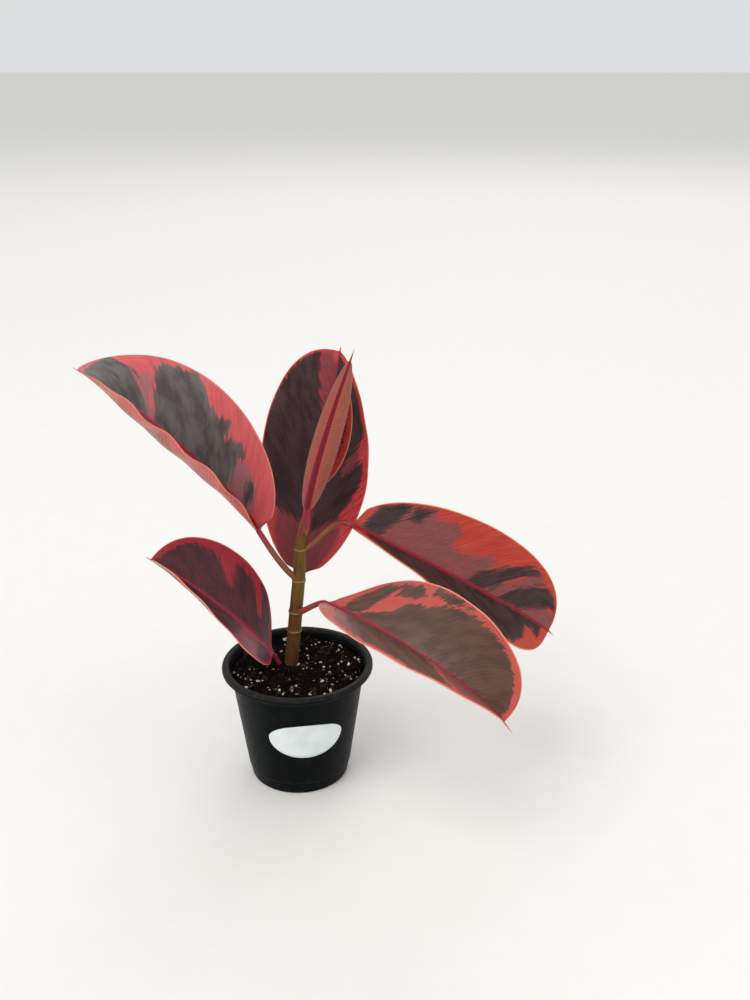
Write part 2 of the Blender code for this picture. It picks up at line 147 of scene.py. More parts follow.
class Finish:
    """One material and the short calls that add nodes to it."""

    def __init__(self, name):
        self.material = bpy.data.materials.new(name)
        self.material.use_nodes = True
        self.nodes = self.material.node_tree.nodes
        self.links = self.material.node_tree.links
        self.shader = self.nodes["Principled BSDF"]

    def put(self, socket, value):
        """Link a socket, or set it to a constant; text is the code of a colour."""
        if isinstance(value, bpy.types.NodeSocket):
            self.links.new(value, socket)
        else:
            socket.default_value = paint(value) if isinstance(value, str) else value

    def add(self, kind, output, inputs, **settings):
        """Add a node, set its properties, then its inputs, and hand back one output."""
        node = self.nodes.new("ShaderNode" + kind)
        for name, value in settings.items():
            setattr(node, name, value)
        for name, value in inputs.items():
            self.put(node.inputs[name], value)
        return node.outputs[output]

    def attribute(self, name):
        return self.add("Attribute", "Vector", {}, attribute_name=name)

    def place(self):
        return self.add("TexCoord", "Object", {})

    def split(self, vector):
        node = self.nodes.new("ShaderNodeSeparateXYZ")
        self.put(node.inputs[0], vector)
        return node.outputs[0], node.outputs[1], node.outputs[2]

    def math(self, operation, a, b=0.0):
        return self.add("Math", 0, {0: a, 1: b}, operation=operation)

    def times(self, a, b):
        return self.math("MULTIPLY", a, b)

    def plus(self, a, b):
        return self.math("ADD", a, b)

    def minus(self, a, b):
        return self.math("SUBTRACT", a, b)

    def scaled(self, vector, factors):
        return self.add("VectorMath", 0, {0: vector, 1: factors}, operation="MULTIPLY")

    def noise(self, vector, scale=1.0, detail=2.0, roughness=0.5):
        return self.add("TexNoise", "Fac", {"Vector": vector, "Scale": scale, "Detail": detail,
                                            "Roughness": roughness})

    def cells(self, vector, scale=1.0):
        """Distance to the nearest of many scattered points."""
        return self.add("TexVoronoi", "Distance", {"Vector": vector, "Scale": scale}, feature="F1")

    def step(self, value, low, high, to_low=0.0, to_high=1.0):
        """Smooth step: to_low below low, to_high above high."""
        return self.add("MapRange", "Result", {"Value": value, "From Min": low, "From Max": high,
                                               "To Min": to_low, "To Max": to_high},
                        interpolation_type="SMOOTHSTEP")

    def mix(self, amount, a, b):
        return self.add("Mix", "Result", {"Factor": amount, "A": a, "B": b}, data_type="RGBA")

    def bump(self, height, distance, strength=1.0):
        """Relief from a height between 0 and 1, distance metres deep."""
        node = self.nodes.new("ShaderNodeBump")
        node.inputs["Strength"].default_value = strength
        node.inputs["Distance"].default_value = distance
        self.put(node.inputs["Height"], height)
        self.links.new(node.outputs["Normal"], self.shader.inputs["Normal"])

    def set(self, **values):
        """Set shader inputs by name, with _ for a space."""
        for name, value in values.items():
            self.put(self.shader.inputs[name.replace("_", " ")], value)
        return self.material


# %% [markdown]
# ## Leaf shapes
# A rubber plant's leaf is one thick, waxy sheet on a round stalk. Everything about its shape
# follows from its midrib: a smooth curve in space, with a direction that the upper side faces
# at the base and another at the tip. Each half of the blade leaves the midrib at a fold angle
# and keeps turning until its margin. The curves and angles are those of the solids in the
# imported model, so a finer grid over them lies exactly where the solids lie.

# %% Curves, faces, widths and turns of the six leaves, in millimetres and degrees
LEAVES = {
    "leaf_upper_left": dict(
        petiole=[(2.0, 8.3, 151), (-9, 4, 162), (-17, -3.8, 182), (-24, -3, 194)],
        midrib=[(-24, -3, 194), (-51, 0, 241), (-119, -15, 304), (-135, -31, 319)],
        face=[(0.30, -0.76, 0.57), (-0.33, -0.05, 0.93)],
        width=(47.4, 0.50), radius=(2.3, 1.9), lean=0.19, wave=(1.7, 0.4),
        left=dict(fold=(59, -18), curl=63),
        right=dict(fold=(58, 2), curl=7)),
    "leaf_lower_right": dict(
        petiole=[(-0.9, 7.6, 125), (5, 2, 129), (17.4, -9.6, 144), (22, -17, 146)],
        midrib=[(22, -17, 146), (60, -79, 160), (119, -110, 138), (143, -120, 106)],
        face=[(0.23, -0.26, 0.94), (-0.04, -0.14, 0.99)],
        width=(47.2, 0.59), radius=(2.4, 1.7), lean=0.22, wave=(0.4, 0.4),
        left=dict(fold=(17, 60), curl=37),
        right=dict(fold=(18, 51), curl=-8)),
    "leaf_back": dict(
        petiole=[(1.0, 8.0, 139), (1.5, 17, 139), (2.4, 20.5, 141), (3.2, 24, 148)],
        midrib=[(3.2, 24, 148), (10, 53, 208), (31, 46, 299), (33, 46, 314)],
        face=[(0.20, -0.92, 0.31), (-0.58, -0.69, 0.42)],
        width=(43.1, 0.52), radius=(2.2, 1.8), lean=0.25, wave=(0.5, 0.3),
        left=dict(fold=(10, 6), curl=3),
        right=dict(fold=(5, 24), curl=17)),
    "leaf_upper_right": dict(
        petiole=[(3.6, 8.7, 174.5), (16, 9, 178), (27, 1, 205), (39, -4, 200)],
        midrib=[(39, -4, 200), (96, -21, 177), (167, -25, 140), (182, -22, 123)],
        face=[(0.02, -0.33, 0.94), (-0.15, -0.60, 0.78)],
        width=(43.2, 0.49), radius=(1.8, 1.7), lean=0.25, wave=(0.4, 0.4),
        left=dict(fold=(36, 16), curl=21),
        right=dict(fold=(38, 7), curl=16)),
    "leaf_lower_left": dict(
        petiole=[(-5.5, 7, 74), (-9.5, 6.5, 76), (-14.1, 5.6, 86), (-18, 3, 94)],
        midrib=[(-18, 3, 94), (-34, -8, 126), (-87, 1, 162), (-107, 4, 172)],
        face=[(0.25, -0.23, 0.94), (0.30, -0.18, 0.94)],
        width=(41.0, 0.51), radius=(1.8, 1.5), lean=0.28, wave=(0.4, 0.5),
        left=dict(fold=(-5, 41), curl=26),
        right=dict(fold=(-2, 40), curl=25)),
    "new_leaf": dict(
        petiole=[(3.8, 8.0, 183), (3.2, 6.5, 190), (6.5, 0.5, 198), (8.5, -0.5, 207)],
        midrib=[(8.5, -0.5, 207), (17, -3, 249), (31, -4, 288), (43, 1, 323)],
        face=[(0.15, 1.0, -0.30), (0.10, 1.0, -0.30)],
        width=(43.5, 0.42, 1.0), radius=(2.0, 1.8), taper=0.4, lean=0.16, wave=(0.0, 0.0),
        left=dict(fold=(5, 5), curl=420, over=(0.0, 1.0, 1.4)),
        right=dict(fold=(5, 5), curl=180, over=(0.0, 0.70, 1.0))),
}
THICKNESS = 0.8
SQUARE_OFF = 4 * THICKNESS      # distance from the midrib by which the faces follow the fold
BLUNT_END = 0.93                # where the blade ends and its drip tip begins
HALF_STEPS = 400                # fine steps that are added up across half of the blade


# %% [markdown]
# ## From curves to a sheet
# Lofting a flat outline and bending it with modifiers would stretch it unevenly. Instead each
# cross-section is added up from the midrib outwards in small steps of equal length, each a
# little more turned than the last, the way a strip of paper bends. The sheet keeps its true
# width however far it curls, which is what lets the same function make the rolled new leaf.


# %% Curves and cross-sections
def cubic(points, t):
    """Points of a cubic Bezier curve: its control points weighted by the Bernstein terms."""
    p = np.asarray(points, dtype=float)
    t = np.asarray(t, dtype=float)[:, None]
    r = 1 - t
    return r ** 3 * p[0] + 3 * r ** 2 * t * p[1] + 3 * r * t ** 2 * p[2] + t ** 3 * p[3]


def cubic_slope(points, t):
    """Unit direction of a cubic Bezier curve, from the differences of its control points."""
    p = np.asarray(points, dtype=float)
    t = np.asarray(t, dtype=float)[:, None]
    slope = (1 - t) ** 2 * (p[1] - p[0]) + 2 * (1 - t) * t * (p[2] - p[1]) + t ** 2 * (p[3] - p[2])
    return slope / np.linalg.norm(slope, axis=1, keepdims=True)


def cross_frames(along, face):
    """Side and up directions square to a line: up is face with its part along the line removed."""
    up = face - (face * along).sum(axis=1, keepdims=True) * along
    up /= np.linalg.norm(up, axis=1, keepdims=True)
    return np.cross(along, up), up


def half_width(u, widest, where, fullness=0.55):
    """Half of the blade's width at fraction u of the midrib.

    With s = u / 0.93 raised to the power that puts the widest place at where, the oval is
    (4 s (1 - s)) ** fullness, and a short narrow drip tip carries on after it.
    """
    s = np.clip(u / BLUNT_END, 0, 1) ** (math.log(0.5) / math.log(where))
    drip = np.where(u > 0.8, np.clip(0.05 * (1 - u) / (1 - BLUNT_END * 0.9), 0.004, 0.06), 0)
    return widest * np.maximum((4 * s * (1 - s)) ** fullness, drip)


def half_section(u, widths, leaf, side, picks):
    """Offsets sideways and up, and the turn, at the picked steps of one half.

    turn = fold + curl * (width / widest) ** taper * part ** tighten, where part goes from 0 to
    1 over the stretch that bends; the offsets are the running sums of its cosine and sine.
    """
    half = leaf["right"] if side > 0 else leaf["left"]
    first, last, tighten = half.get("over", (0.0, 1.0, 1.0))
    out = (np.arange(HALF_STEPS) + 0.5) / HALF_STEPS
    fold = np.radians(half["fold"][0] * (1 - u) + half["fold"][1] * u)
    curl = math.radians(half["curl"]) * (widths / leaf["width"][0]) ** leaf.get("taper", 1.0)
    turn = fold[:, None] + curl[:, None] * np.clip((out - first) / (last - first), 0, 1) ** tighten
    step = widths[:, None] / HALF_STEPS
    zero = np.zeros((len(u), 1))
    sideways = np.concatenate([zero, np.cumsum(np.cos(turn) * step, axis=1)], axis=1)
    lifted = np.concatenate([zero, np.cumsum(np.sin(turn) * step, axis=1)], axis=1)
    turn = np.concatenate([turn[:, :1], turn], axis=1)
    return sideways[:, picks], lifted[:, picks], turn[:, picks]


# %% Where the rows and columns of a leaf's grid lie
BLADE_ROWS = np.concatenate([np.linspace(0, 0.06, 15), np.linspace(0.06, 0.86, 96)[1:],
                             np.linspace(0.86, 1, 44)[1:]])
PETIOLE_ROWS = np.linspace(0, 1, 25)[:-1]
ACROSS = np.concatenate([np.linspace(0, 0.10, 9), np.linspace(0.10, 0.94, 24)[1:],
                         [0.96, 0.975, 0.985, 0.9925, 0.9975, 1.0]])
PICKS = np.unique(np.round(ACROSS * HALF_STEPS).astype(int))
print("grid of a leaf:", len(PETIOLE_ROWS) + len(BLADE_ROWS), "by", 4 * (len(PICKS) - 1))


# %% [markdown]
# The sheet gets a rounded margin, a keel under the midrib and a shallow groove above it. Each
# point also remembers where it is on the leaf, because the colours follow the veins and the
# margin and not the outside world: how far it is along its own side vein, and how far it is
# from the margin and from the midrib.


# %% One leaf as a closed grid
def smooth(x):
    """The smooth step 3 x^2 - 2 x^3 of a number clipped to 0..1."""
    x = np.clip(x, 0, 1)
    return x * x * (3 - 2 * x)


def leaf_grid(leaf):
    """Rings of a whole leaf in millimetres, with fractions u and v and the side of each point.

    A ring runs from the left margin over the midrib to the right margin on the upper side and
    back on the lower side. The stalk is the same ring drawn in to a circle.
    """
    u = BLADE_ROWS
    midrib = cubic(leaf["midrib"], u)
    face = np.outer(1 - u, leaf["face"][0]) + np.outer(u, leaf["face"][1])
    side_way, up_way = cross_frames(cubic_slope(leaf["midrib"], u), face)
    widths = half_width(u, *leaf["width"])
    keel = leaf["radius"][1] * (1 - u) ** 0.7
    tops, bottoms, v = [], [], []
    for side in (-1, 1):
        sideways, lifted, turn = half_section(u, widths, leaf, side, PICKS)
        part = PICKS / HALF_STEPS
        reach = part * widths[:, None]
        to_edge = (1 - part) * widths[:, None]
        turn = turn * np.clip(reach / SQUARE_OFF, 0, 1)
        place = (midrib[:, None] + side * sideways[..., None] * side_way[:, None]
                 + lifted[..., None] * up_way[:, None])
        normal = (np.cos(turn)[..., None] * up_way[:, None]
                  - side * np.sin(turn)[..., None] * side_way[:, None])
        wave = leaf["wave"][0 if side < 0 else 1] * part ** 2 * np.sin(
            2 * math.pi * (u[:, None] * 5.3 + 0.6 * part + 0.25 * side)) * np.sin(math.pi * u[:, None])
        half_thick = THICKNESS / 2 * np.clip(widths[:, None] / leaf["width"][0] * 2, 0.4, 1)
        half_thick = half_thick * np.sqrt(1 - (1 - np.clip(to_edge / 0.6, 0, 1)) ** 2)
        groove = 0.22 * (1 - u[:, None]) * np.exp(-(reach / 1.1) ** 2)
        rib = 0.85 * keel[:, None] * (1 - smooth(reach / (1.1 + keel[:, None])))
        top = place + normal * (wave + half_thick - groove)[..., None]
        bottom = place + normal * (wave - half_thick - rib)[..., None]
        order = slice(None, 0, -1) if side < 0 else slice(None)
        tops.append(top[:, order])
        bottoms.append(bottom[:, order])
        v.append(side * part[order])
    top, bottom = np.concatenate(tops, axis=1), np.concatenate(bottoms, axis=1)
    v = np.concatenate(v)
    section = np.concatenate([top, bottom[:, -2:0:-1]], axis=1)
    v = np.concatenate([v, v[-2:0:-1]])
    upper = np.concatenate([np.ones(top.shape[1]), np.zeros(bottom.shape[1] - 2)])
    rise = np.sqrt(1 - v ** 2) * np.where(upper > 0.5, 1, -1)

    def circle(line, sides, ups, radius):
        return line[:, None] + radius[:, None, None] * (v[None, :, None] * sides[:, None]
                                                        + rise[None, :, None] * ups[:, None])

    spread = smooth(u / 0.035)[:, None, None]
    round_part = circle(midrib, side_way, up_way, leaf["radius"][1] * (1 - u))
    blade = round_part * (1 - spread) + section * spread
    t = PETIOLE_ROWS
    line = cubic(leaf["petiole"], t)
    sides, ups = cross_frames(cubic_slope(leaf["petiole"], t),
                              np.broadcast_to(leaf["face"][0], line.shape))
    stalk = circle(line, sides, ups, leaf["radius"][0] * (1 - t) + leaf["radius"][1] * t)
    length = np.linalg.norm(np.diff(midrib, axis=0), axis=1).sum()
    u_all = np.concatenate([(t - 1) * 0.2, u])
    return np.concatenate([stalk, blade]), u_all, v, upper, length


# %% [markdown]
# ## Variegation as shapes on the leaf
# The dark green, the mauve and the red of a variegated leaf are layers of different cells, and
# they meet in slanting, torn edges that follow the side veins. Noise alone would give spots in
# random places. Here each zone is a rough outline drawn on the unrolled leaf: u runs
# from base to tip, v from the midrib, 0, to the margins, -1 on the left and 1 on the right. The
# grid stores how deep each point is inside its zone, and the finish tears the edge later.

# %% Outlines of the dark zones and of the mauve zones
DARK = {
    "leaf_upper_left": [
        [(0.11, 0.08), (0.15, 0.10), (0.20, 0.45), (0.185, 0.54), (0.15, 0.50), (0.12, 0.30)],
        [(0.21, 0), (0.25, 0.40), (0.27, 0.62), (0.30, 0.72), (0.34, 0.55), (0.37, 0.79),
         (0.41, 0.67), (0.46, 0.76), (0.48, 0.86), (0.505, 0.93), (0.55, 0.95), (0.60, 0.94),
         (0.65, 0.84), (0.62, 0.50), (0.58, 0.20), (0.56, 0)],
        [(0.57, 0), (0.62, 0.20), (0.67, 0.43), (0.70, 0.62), (0.74, 0.79), (0.77, 0.90),
         (0.80, 1.02), (0.84, 0.90), (0.87, 0.70), (0.90, 0.30), (0.89, 0)],
        [(0.16, 0), (0.20, -0.40), (0.30, -0.78), (0.40, -0.70), (0.55, -0.88), (0.70, -0.80),
         (0.80, -0.60), (0.88, 0)]],
    "leaf_lower_right": [
        [(0.09, -0.02), (0.17, -0.14), (0.19, -0.30), (0.23, -0.60), (0.28, -0.90), (0.20, -0.93),
         (0.12, -0.75), (0.09, -0.35)],
        [(0.10, 0), (0.17, -0.10), (0.22, -0.25), (0.29, -0.38), (0.33, -0.60), (0.42, -0.66),
         (0.50, -0.80), (0.60, -0.88), (0.72, -0.90), (0.83, -0.80), (0.90, -0.50), (0.90, 0)],
        [(0.27, -0.70), (0.36, -0.68), (0.40, -0.80), (0.37, -0.92), (0.29, -0.92)],
        [(0.42, -0.82), (0.52, -0.84), (0.58, -0.95), (0.43, -0.96)],
        [(0.11, 0), (0.14, 0.15), (0.22, 0.50), (0.32, 0.88), (0.60, 0.93), (0.69, 0.86),
         (0.60, 0.40), (0.52, 0)]],
    "leaf_back": [
        [(0.14, 0), (0.165, 0.25), (0.22, 0.58), (0.30, 0.76), (0.385, 0.88), (0.467, 0.88),
         (0.44, 0.76), (0.385, 0.50), (0.395, 0.44), (0.45, 0.60), (0.49, 0.72), (0.555, 0.86),
         (0.60, 0.90), (0.75, 0.85), (0.85, 0.60), (0.90, 0.20), (0.90, 0)],
        [(0.19, 0), (0.19, -0.20), (0.22, -0.65), (0.25, -0.93), (0.50, -1.02), (0.75, -0.97),
         (0.88, -0.86), (0.86, -0.62), (0.79, -0.42), (0.70, -0.26), (0.60, -0.12), (0.60, 0)]],
    "leaf_upper_right": [
        [(0.035, 0), (0.115, 0), (0.18, -0.90), (0.16, -0.97), (0.07, -0.95), (0.05, -0.50)],
        [(0.17, -0.60), (0.22, -0.62), (0.25, -0.93), (0.19, -0.95)],
        [(0.445, 0), (0.535, 0), (0.62, -0.45), (0.73, -0.87), (0.68, -0.87), (0.58, -0.60),
         (0.50, -0.30)],
        [(0.58, 0), (0.70, 0), (0.82, -0.40), (0.90, -0.80), (0.84, -0.88), (0.77, -0.80),
         (0.66, -0.40)],
        [(0.06, 0), (0.08, 0.50), (0.14, 0.90), (0.40, 0.95), (0.70, 0.93), (0.76, 0.60),
         (0.76, 0.30), (0.80, 0.30), (0.85, 0.60), (0.87, 0.30), (0.86, 0)]],
    "leaf_lower_left": [
        [(0.05, 0), (0.06, 0.50), (0.10, 0.85), (0.20, 0.97), (0.33, 0.98), (0.26, 0.77),
         (0.20, 0.53), (0.23, 0.50), (0.30, 0.75), (0.36, 0.86), (0.50, 0.86), (0.47, 0.67),
         (0.43, 0.48), (0.46, 0.46), (0.54, 0.65), (0.62, 0.80), (0.75, 0.86), (0.83, 0.75),
         (0.86, 0.50), (0.90, 0.20), (0.90, 0)],
        [(0.05, 0), (0.05, -0.60), (0.10, -0.90), (0.17, -0.85), (0.16, -0.30), (0.15, 0)],
        [(0.28, 0), (0.30, -0.50), (0.34, -0.85), (0.50, -0.90), (0.70, -0.85), (0.85, -0.50),
         (0.88, 0)]],
    "new_leaf": [[(0.12, -0.8), (0.5, -0.9), (0.9, -0.6), (0.9, 0.6), (0.5, 0.9), (0.12, 0.8)]],
}
MAUVE = {
    "leaf_upper_left": [
        [(0.07, 0), (0.12, 0.50), (0.20, 0.62), (0.27, 0.50), (0.30, 0)],
        [(0.55, 0), (0.60, 0), (0.70, 0.50), (0.66, 0.65)],
        [(0.05, 0), (0.10, -0.60), (0.60, -0.95), (0.90, -0.50), (0.93, 0)]],
    "leaf_lower_right": [
        [(0.07, 0), (0.10, 0.40), (0.20, 0.82), (0.36, 0.94), (0.20, 0)],
        [(0.53, 0), (0.63, 0.40), (0.72, 0.86), (0.80, 0.85), (0.86, 0.50), (0.88, 0)]],
    "leaf_back": [
        [(0.0, 0), (0.0, 0.72), (0.13, 0.80), (0.24, 0.62), (0.20, 0.30), (0.20, 0)],
        [(0.36, 0.38), (0.43, 0.40), (0.53, 0.74), (0.44, 0.80), (0.37, 0.60)],
        [(0.0, 0), (0.0, -0.90), (0.08, -0.95), (0.24, -0.65), (0.19, -0.10), (0.19, 0)],
        [(0.58, 0), (0.60, -0.14), (0.72, -0.32), (0.80, -0.50), (0.88, -0.70), (0.91, -0.45),
         (0.86, -0.20), (0.84, 0)]],
    "leaf_upper_right": [
        [(0.11, 0), (0.15, -0.50), (0.17, -0.95), (0.25, -0.95), (0.27, -0.76), (0.33, -0.80),
         (0.38, -0.70), (0.35, -0.45), (0.40, -0.39), (0.47, -0.50), (0.51, -0.65), (0.53, -0.45),
         (0.46, 0)],
        [(0.53, 0), (0.61, 0), (0.68, -0.40), (0.78, -0.80), (0.72, -0.85)],
        [(0.69, 0), (0.90, 0), (0.93, -0.40), (0.90, -0.70), (0.82, -0.40)]],
    "leaf_lower_left": [
        [(0.14, 0), (0.16, -0.30), (0.17, -0.85), (0.34, -0.85), (0.28, 0)]],
    "new_leaf": [[(0.05, -0.6), (0.95, -0.5), (0.95, 0.5), (0.05, 0.6)]],
}


# %% How deep a point lies inside a set of outlines
def depth_inside(u, v, outlines, length, width):
    """Signed distance in millimetres: positive inside any outline, negative outside all.

    The distance to an outline is the least distance to its edges. A point is inside when a
    line from it to the far right crosses the edges an odd number of times.
    """
    here = np.stack([u * length, v * width], axis=-1)
    best = np.full(len(here), -1e3)
    for outline in outlines:
        a = np.array(outline) * (length, width)
        b = np.roll(a, -1, axis=0)
        edge = b - a
        off = here[:, None] - a
        share = np.clip((off * edge).sum(axis=2) / (edge ** 2).sum(axis=1), 0, 1)
        gap = np.linalg.norm(off - share[..., None] * edge, axis=2).min(axis=1)
        spans = (a[:, 1] > here[:, 1:]) != (b[:, 1] > here[:, 1:])
        rise = np.where(edge[:, 1] == 0, 1e-9, edge[:, 1])
        crosses = spans & (off[..., 0] < edge[:, 0] * off[..., 1] / rise)
        best = np.maximum(best, np.where(crosses.sum(axis=1) % 2 == 1, gap, -gap))
    return best


# %% The six leaves
def make_leaf(name, leaf):
    """One closed leaf with the values that its finish reads."""
    rings, u, v, upper, length = leaf_grid(leaf)
    obj = skin(name + "_blade", rings * MM)
    rows, columns = rings.shape[:2]
    u, v, upper = (np.repeat(u, columns), np.tile(v, rows), np.tile(upper, rows))
    ends = [0, -1]
    u, v, upper = (np.concatenate([a, a[ends]]) for a in (u, v, upper))
    widest = leaf["width"][0]
    blade = np.clip(u, 0, 1)
    local = half_width(blade, *leaf["width"])
    side_vein = (u - leaf["lean"] * np.abs(v) ** 1.1) * length
    point_values(obj, "vein", np.stack([side_vein, v * widest, np.sign(v)], axis=-1))
    nudge = np.where(v < 0, -0.001, 0.001)
    dark = depth_inside(u, v + nudge, DARK[name], length, widest)
    mauve = depth_inside(u, v + nudge, MAUVE[name], length, widest)
    stage = np.where(u < 0, u * 5, smooth(u / 0.05))
    point_values(obj, "zone", np.stack([dark, mauve, stage], axis=-1))
    rib = np.abs(v) * local / (0.25 + 1.0 * (1 - blade) ** 0.8)
    point_values(obj, "rim", np.stack([(1 - np.abs(v)) * local, rib, upper], axis=-1))
    finish_piece(obj, "leaf_young" if name == "new_leaf" else "leaf_variegated", name)
    return obj


leaves = {name: make_leaf(name, leaf) for name, leaf in LEAVES.items()}


# %% [markdown]
# ## The finish of a leaf
# Both sides of a rubber plant's leaf are waxy, and fine side veins run close together from the
# midrib to a margin vein. The upper side shows the variegation sharply; through the underside
# it shows only as a soft stain. One network serves every leaf, and a short palette makes each
# its own, as leaves of different ages on one plant have different reds.


# %% Leaf finish
def leaf_finish(name, colours, rough, pace, spread=6.0):
    """The layered finish: margin red, mauve zone, dark zone, veins, midrib and margin line."""
    f = Finish(name)
    vein, zone, rim = f.attribute("vein"), f.attribute("zone"), f.attribute("rim")
    dark, mauve, stage = f.split(zone)
    margin, rib, upper = f.split(rim)
    along, across, half = f.split(vein)
    torn = f.noise(f.scaled(vein, (0.34, 0.055, 5.0)), detail=3.0, roughness=0.6)
    fine = f.noise(f.scaled(vein, (1.3, 0.14, 9.0)), detail=2.0, roughness=0.6)
    cloud = f.noise(f.scaled(vein, (0.10, 0.06, 3.0)), detail=2.0)
    speck = f.noise(f.scaled(vein, (2.4, 1.5, 2.0)), detail=1.0)
    tear = f.plus(f.times(f.minus(torn, 0.5), spread * 2.0),
                  f.times(f.minus(fine, 0.5), spread * 0.8))
    edge = f.plus(dark, tear)
    is_dark = f.step(edge, -0.35, 0.35)
    is_mauve = f.step(f.plus(f.times(tear, 1.4), mauve), -2.0, 2.0)
    red = f.mix(f.step(torn, 0.35, 0.65), colours["red"], colours["red_2"])
    red = f.mix(f.step(speck, 0.50, 0.75, 0.0, 0.25), red, colours["mauve"])
    mauve_colour = f.mix(f.step(fine, 0.42, 0.60), colours["mauve"], colours["mauve_2"])
    mauve_colour = f.mix(f.step(torn, 0.54, 0.68, 0.0, 0.38), mauve_colour, colours["red"])
    dark_colour = f.mix(f.step(cloud, 0.36, 0.64), colours["dark"], colours["dark_2"])
    dark_colour = f.mix(f.step(fine, 0.58, 0.70, 0.0, 0.30), dark_colour, colours["mauve"])
    dark_colour = f.mix(f.step(speck, 0.58, 0.70, 0.0, 0.30), dark_colour, colours["vein"])
    dark_colour = f.mix(f.step(edge, 0.3, 3.0, 0.35, 0.0), dark_colour, colours["mauve"])
    face = f.mix(is_mauve, red, mauve_colour)
    face = f.mix(is_dark, face, dark_colour)

    wobble = f.times(f.noise(f.scaled(vein, (0.5, 0.12, 4.0))), 2.4)
    comb = f.math("PINGPONG", f.plus(along, wobble), pace)
    line = f.times(f.step(comb, 0.0, 0.40, 1.0, 0.0), f.step(cloud, 0.3, 0.7, 0.35, 1.0))
    face = f.mix(f.times(line, 0.13), face, colours["vein"])
    face = f.mix(f.step(rib, 2.0, 3.2, 0.35, 0.0), face, colours["rib"])
    face = f.mix(f.step(rib, 1.0, 1.7, 1.0, 0.0), face, colours["rib"])
    edge_line = f.step(f.plus(margin, f.times(fine, -0.5)), 0.0, 0.8, 1.0, 0.0)
    face = f.mix(edge_line, face, colours["edge"])

    stain = f.step(edge, -5.0, 5.0, 0.0, 0.75)
    back = f.mix(stain, colours["under"], colours["under_dark"])
    back = f.mix(f.times(f.step(torn, 0.35, 0.7), 0.35), back, colours["under_2"])
    back = f.mix(f.times(line, 0.70), back, colours["under_vein"])
    back = f.mix(f.step(rib, 2.9, 3.7, 1.0, 0.0), back, colours["under_rib"])
    back = f.mix(f.step(rib, 1.7, 2.4, 0.95, 0.0), back, colours["rib"])
    back = f.mix(f.times(edge_line, 0.7), back, colours["edge"])
    both = f.mix(f.step(upper, 0.3, 0.7), back, face)
    stalk = f.mix(f.step(stage, -0.5, -0.05), colours["stalk_2"], colours["stalk"])
    stalk = f.mix(f.step(fine, 0.45, 0.7, 0.0, 0.35), stalk, colours["vein"])
    both = f.mix(f.step(stage, 0.2, 0.9), stalk, both)

    relief = f.plus(f.times(line, -0.45), f.times(fine, 0.55))
    relief = f.plus(relief, f.times(cloud, 1.5))
    f.bump(f.times(relief, f.step(stage, 0.0, 1.0)), 0.00028, 0.8)
    gloss = f.step(cloud, 0.3, 0.7, rough - 0.05, rough + 0.07)
    print("finish:", name)
    return f.set(Base_Color=both, Roughness=gloss, Specular_IOR_Level=0.27)


# %% One palette for each leaf, with its colours in the order of TINTS
TINTS = ("red red_2 mauve mauve_2 dark dark_2 vein rib edge "
         "under under_2 under_dark under_vein under_rib stalk stalk_2").split()
PALETTES = {
    "leaf_upper_left": (
        "D65E5E C65458 966A6A A86268 4A4240 64605E 86686A A8243A DE8474 "
        "C8665C BE5658 86584C DE948A C04452 A02A3A 8C5430"),
    "leaf_lower_right": (
        "D05650 C8665A 86524C 965C52 6A5045 59443A 8C6858 9C2A40 EE947C "
        "B25A54 A24E50 785648 C87E72 B24E54 9A3040 9A4440"),
    "leaf_back": (
        "C42C34 D04E4E 7A383A 8C4046 2E1B1E 402C30 6A4044 8C2E38 E46C42 "
        "A0504C 8E4042 643F3C B66A62 A0484C 743430 7E5034"),
    "leaf_upper_right": (
        "B4332A C4442F 8C484C 76443E 2A1D18 3A2E2C 8A5A56 8E1628 EA9258 "
        "A04A46 8E3C40 5C3634 B4665A 9C3A42 8C2234 8A5634"),
    "leaf_lower_left": (
        "AE2232 9E2A38 803A46 90444E 432426 552C31 8C444E A0203A ED9A7E "
        "9C444A 8C3640 62383A B25E64 9C3646 962638 A03442"),
    "new_leaf": (
        "A8262A B43C34 7E242A 8E3234 1E1012 2C1A1C 74343A 700E1C DC7048 "
        "AA5E4A A25046 985440 6E362A B4484A 9A2C3A 8A4632"),
}
for name, blade in leaves.items():
    colours = dict(zip(TINTS, PALETTES[name].split()))
    young = name == "new_leaf"
    blade.data.materials.append(leaf_finish(name + "_finish", colours, rough=0.44 if young else 0.37,
                                            pace=1.0 if young else 1.6))


# %% [markdown]
# ## Stem
# The stem is young wood: olive where it is newest, brown lower down, with a pale ring scar
# wherever a leaf has been joined. A tube along a smooth line gives the shape; the rings are a
# narrow swelling in its radius, so that they catch the light as well as the colour.


# %% Tubes along a line
def smooth_line(points, count):
    """A run through the given points: cubic Hermite pieces whose slopes are the mean of the
    steps before and after each point, evenly spaced by index."""
    knots = np.asarray(points, dtype=float)
    slopes = np.gradient(knots, axis=0)
    at = np.linspace(0, len(knots) - 1, count)
    i = np.minimum(at.astype(int), len(knots) - 2)
    t = (at - i)[:, None]
    start = (2 * t ** 3 - 3 * t ** 2 + 1) * knots[i] + (t ** 3 - 2 * t ** 2 + t) * slopes[i]
    end = (3 * t ** 2 - 2 * t ** 3) * knots[i + 1] + (t ** 3 - t ** 2) * slopes[i + 1]
    return start + end


def tube(line, radii, sides):
    """Circles square to a line: centre + radius * (cos * side + sin * up)."""
    along = np.gradient(line, axis=0)
    along /= np.linalg.norm(along, axis=1, keepdims=True)
    side, up = cross_frames(along, np.broadcast_to((0.0, -1.0, 0.0), line.shape))
    angles = np.arange(sides) * 2 * math.pi / sides
    ring = np.cos(angles)[None, :, None] * side[:, None] + np.sin(angles)[None, :, None] * up[:, None]
    return line[:, None] + radii[:, :, None] * ring, angles


